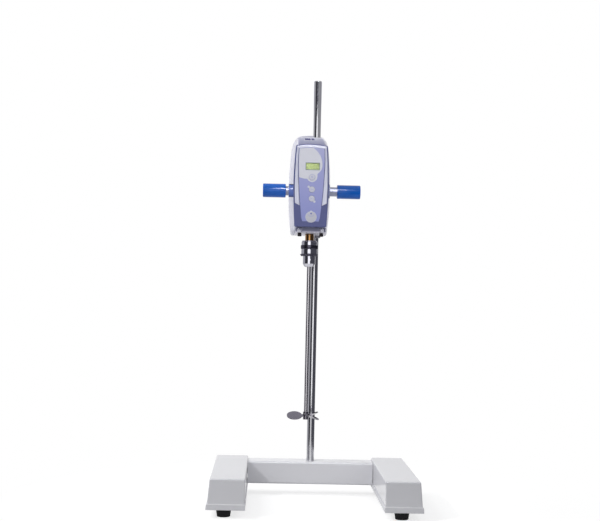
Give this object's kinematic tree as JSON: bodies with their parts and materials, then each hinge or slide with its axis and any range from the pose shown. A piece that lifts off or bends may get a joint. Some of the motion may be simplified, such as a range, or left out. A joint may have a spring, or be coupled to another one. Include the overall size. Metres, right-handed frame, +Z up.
{
  "type": "overhead stirrer",
  "caption": "Bench overhead stirrer: motor head clamped on a vertical rod, keyed chuck, long shaft with a disc-blade propeller, on an H-shaped base.",
  "frame": {"origin": "centre of the base's footprint, on the bench under the feet", "axes": "+Z up along the support rod, -Y towards the control panel, +X to the right seen from the front"},
  "size_m": [0.407, 0.3241, 0.87],
  "materials": {
    "base_paint": "satin light grey-white powder coat",
    "tray_paint": "satin light grey-white powder coat",
    "foot_rubber": "matt black",
    "zinc_steel": "zinc plated",
    "rod_steel": "polished",
    "shaft_steel": "ground stainless",
    "bush_bronze": "sintered bronze",
    "cast_alu": "as cast, machined bores",
    "flange_alu": "machined",
    "black_steel": "black oxide",
    "white_plastic": "glossy white",
    "slate_plastic": "satin slate blue",
    "silver_plastic": "silver lavender paint",
    "membrane": "periwinkle film with grey print",
    "lcd_glass": "clear window",
    "lcd_body": "yellow-green reflective display",
    "board": "solder mask",
    "key_plastic": "grey print on film",
    "blue_plastic": "glossy blue",
    "pad_nylon": "natural nylon",
    "stud_steel": "bright plated",
    "motor_can": "black",
    "gear_steel": "hobbed",
    "bearing_steel": "ground",
    "spindle_brass": "turned, copper tint",
    "chuck_chrome": "chrome with dark knurl",
    "black_plastic": "moulded black"
  },
  "bodies": {
    "stand": {"left_leg": "base_paint", "right_leg": "base_paint", "left_leg_tray": "tray_paint", "right_leg_tray": "tray_paint", "foot_front_left": "foot_rubber", "foot_front_right": "foot_rubber", "foot_rear_left": "foot_rubber", "foot_rear_right": "foot_rubber", "foot_screws": "zinc_steel", "crossbar": "base_paint", "crossbar_bolts": "zinc_steel", "rod_socket": "zinc_steel", "support_rod": "rod_steel", "rod_bolt": "zinc_steel"},
    "carriage": {"lower_bush": "bush_bronze", "upper_bush": "bush_bronze"},
    "head": {"clamp_block": "cast_alu", "flange_plate": "flange_alu", "flange_screws": "black_steel", "gear_plate": "flange_alu", "gear_plate_pillars": "zinc_steel", "front_housing": "white_plastic", "rear_cover": "white_plastic", "rear_cover_screws": "zinc_steel", "front_cover": "slate_plastic", "silver_trim": "silver_plastic", "keypad_panel": "membrane", "lcd_window": "lcd_glass", "lcd_module": "lcd_body", "circuit_board": "board", "left_collar": "blue_plastic", "right_collar": "blue_plastic", "motor_case": "motor_can", "lower_bearing": "bearing_steel", "upper_bearing": "bearing_steel", "mains_inlet": "black_plastic", "switch_frame": "black_plastic"},
    "left_pad": {"left_pad": "pad_nylon"},
    "left_knob": {"left_knob_stud": "stud_steel", "left_knob_grip": "blue_plastic"},
    "right_pad": {"right_pad": "pad_nylon"},
    "right_knob": {"right_knob_stud": "stud_steel", "right_knob_grip": "blue_plastic"},
    "motor_rotor": {"motor_rotor": "gear_steel", "pinion": "gear_steel"},
    "spindle": {"spindle": "gear_steel", "spindle_sleeve": "spindle_brass", "drive_gear": "gear_steel", "chuck_body": "chuck_chrome"},
    "chuck_sleeve": {"chuck_sleeve": "chuck_chrome"},
    "jaw_1": {"jaw_1": "chuck_chrome"},
    "jaw_2": {"jaw_2": "chuck_chrome"},
    "jaw_3": {"jaw_3": "chuck_chrome"},
    "stirrer": {"stirring_shaft": "shaft_steel", "propeller": "shaft_steel"},
    "mode_key": {"mode_key": "key_plastic"},
    "up_key": {"up_key": "key_plastic"},
    "down_key": {"down_key": "key_plastic"},
    "start_key": {"start_key": "key_plastic"},
    "power_rocker": {"power_rocker": "black_plastic"}
  },
  "joints": [
    {"name": "head_lift", "type": "slide", "parent": "stand", "child": "carriage", "axis": [0, 0, 1], "range_m": [-0.065, 0.1]},
    {"name": "head_swivel", "type": "hinge", "parent": "carriage", "child": "head", "pos_m": [0, 0.132, 0.64], "axis": [0, 0, 1], "range_deg": [-180, 180]},
    {"name": "left_pad_slide", "type": "slide", "parent": "head", "child": "left_pad", "axis": [1, 0, 0], "range_m": [-0.0025, 0.00025]},
    {"name": "left_knob_turn", "type": "hinge", "parent": "left_pad", "child": "left_knob", "pos_m": [-0.09, 0.132, 0.6355], "axis": [1, 0, 0], "range_deg": [-515, 52]},
    {"name": "right_pad_slide", "type": "slide", "parent": "head", "child": "right_pad", "axis": [-1, 0, 0], "range_m": [-0.0025, 0.00025]},
    {"name": "right_knob_turn", "type": "hinge", "parent": "right_pad", "child": "right_knob", "pos_m": [0.07, 0.132, 0.6355], "axis": [-1, 0, 0], "range_deg": [-515, 52]},
    {"name": "spindle_spin", "type": "hinge", "parent": "head", "child": "spindle", "pos_m": [-0.014, 0.052, 0.56], "axis": [0, 0, 1], "continuous": true},
    {"name": "motor_spin", "type": "hinge", "parent": "head", "child": "motor_rotor", "pos_m": [-0.014, 0.08205, 0.64], "axis": [0, 0, 1], "continuous": true},
    {"name": "chuck_sleeve_turn", "type": "hinge", "parent": "spindle", "child": "chuck_sleeve", "pos_m": [-0.014, 0.052, 0.507], "axis": [0, 0, 1], "range_deg": [0, 1382]},
    {"name": "jaw_1_slide", "type": "slide", "parent": "spindle", "child": "jaw_1", "axis": [0, 0.1736, 0.9848], "range_m": [0, 0.00575]},
    {"name": "jaw_2_slide", "type": "slide", "parent": "spindle", "child": "jaw_2", "axis": [-0.1504, -0.0868, 0.9848], "range_m": [0, 0.00575]},
    {"name": "jaw_3_slide", "type": "slide", "parent": "spindle", "child": "jaw_3", "axis": [0.1504, -0.0868, 0.9848], "range_m": [0, 0.00575]},
    {"name": "shaft_slide", "type": "slide", "parent": "spindle", "child": "stirrer", "axis": [0, 0, 1], "range_m": [-0.02, 0]},
    {"name": "mode_key_press", "type": "slide", "parent": "head", "child": "mode_key", "axis": [0, 1, 0], "range_m": [0, 0.0006], "stiffness_N_per_m": 600, "springref_m": -0.0004},
    {"name": "up_key_press", "type": "slide", "parent": "head", "child": "up_key", "axis": [0, 1, 0], "range_m": [0, 0.0006], "stiffness_N_per_m": 600, "springref_m": -0.0004},
    {"name": "down_key_press", "type": "slide", "parent": "head", "child": "down_key", "axis": [0, 1, 0], "range_m": [0, 0.0006], "stiffness_N_per_m": 600, "springref_m": -0.0004},
    {"name": "start_key_press", "type": "slide", "parent": "head", "child": "start_key", "axis": [0, 1, 0], "range_m": [0, 0.0006], "stiffness_N_per_m": 600, "springref_m": -0.0004},
    {"name": "power_rocker_tilt", "type": "hinge", "parent": "head", "child": "power_rocker", "pos_m": [0.0115, 0.156, 0.568], "axis": [1, 0, 0], "range_deg": [0, 16]}
  ],
  "couplings": [
    {"joint": "left_knob_turn", "follows": "left_pad_slide", "rad_per_m": 3590.4},
    {"joint": "right_knob_turn", "follows": "right_pad_slide", "rad_per_m": 3590.4},
    {"joint": "motor_spin", "follows": "spindle_spin", "ratio": -2},
    {"joint": "chuck_sleeve_turn", "follows": "jaw_1_slide", "rad_per_m": 4188.8},
    {"joint": "jaw_2_slide", "follows": "jaw_1_slide", "ratio": 1},
    {"joint": "jaw_3_slide", "follows": "jaw_1_slide", "ratio": 1}
  ]
}
